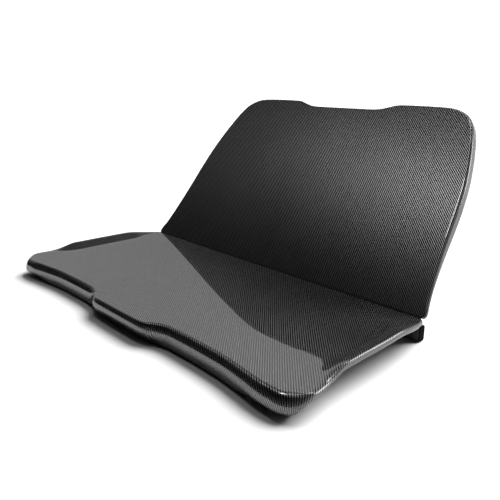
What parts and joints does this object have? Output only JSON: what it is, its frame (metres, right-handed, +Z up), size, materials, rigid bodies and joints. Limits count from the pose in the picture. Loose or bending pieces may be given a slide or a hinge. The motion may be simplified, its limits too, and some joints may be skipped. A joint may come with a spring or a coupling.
{
  "type": "rear bench seat",
  "caption": "Two-piece laminate rear bench for a track car: a shallow tray base and a backrest that folds forward on low hinges over a black steel cross-member.",
  "frame": {"origin": "middle of the bench's footprint, on the floor", "axes": "+X to the right as seen from in front, -Y towards the front lip, +Z up"},
  "size_m": [1.3516, 1.013, 0.5906],
  "materials": {
    "carbon_clearcoat": "2x2 twill carbon laminate under a glossy clear coat",
    "carbon_bare": "bare carbon laminate, satin, peel-ply texture",
    "black_paint": "matte black powder coat on steel",
    "black_plastic": "moulded black nylon, fine texture",
    "zinc": "bright zinc plate",
    "nylon": "natural nylon",
    "rubber": "black rubber"
  },
  "bodies": {
    "base": {"base_shell": "carbon_clearcoat", "base_rib_left": "carbon_bare", "base_rib_centre": "carbon_bare", "base_rib_right": "carbon_bare", "rear_crossmember": "black_paint", "crossmember_cap_left": "black_plastic", "crossmember_cap_right": "black_plastic", "crossmember_pads": "rubber", "crease_seal": "rubber", "base_mount_brackets": "black_paint", "bracket_bolts": "zinc", "hinge_stand_left": "black_paint", "hinge_stand_right": "black_paint", "stand_bolts": "zinc", "hinge_bush_left": "nylon", "hinge_bush_right": "nylon", "hinge_pin_left": "zinc", "hinge_pin_right": "zinc", "hinge_pin_clips": "zinc", "plunger_housing_left": "zinc", "plunger_housing_right": "zinc", "plunger_spring_left": "zinc", "plunger_spring_right": "zinc"},
    "backrest": {"backrest_shell": "carbon_clearcoat", "backrest_rib_left": "carbon_bare", "backrest_rib_centre": "carbon_bare", "backrest_rib_right": "carbon_bare", "hinge_lug_left": "black_paint", "hinge_lug_right": "black_paint", "lug_rivets": "zinc"},
    "plunger_left": {"plunger_pin_left": "zinc", "plunger_knob_left": "black_plastic"},
    "plunger_right": {"plunger_pin_right": "zinc", "plunger_knob_right": "black_plastic"}
  },
  "joints": [
    {"name": "backrest_fold", "type": "hinge", "parent": "base", "child": "backrest", "pos_m": [0, 0.10046, 0.074], "axis": [1, 0, 0], "range_deg": [0, 100]},
    {"name": "plunger_lock_left", "type": "slide", "parent": "base", "child": "plunger_left", "axis": [-1, 0, 0], "range_m": [0, 0.008], "deforming": ["plunger_spring_left"]},
    {"name": "plunger_lock_right", "type": "slide", "parent": "base", "child": "plunger_right", "axis": [1, 0, 0], "range_m": [0, 0.008], "deforming": ["plunger_spring_right"]}
  ]
}
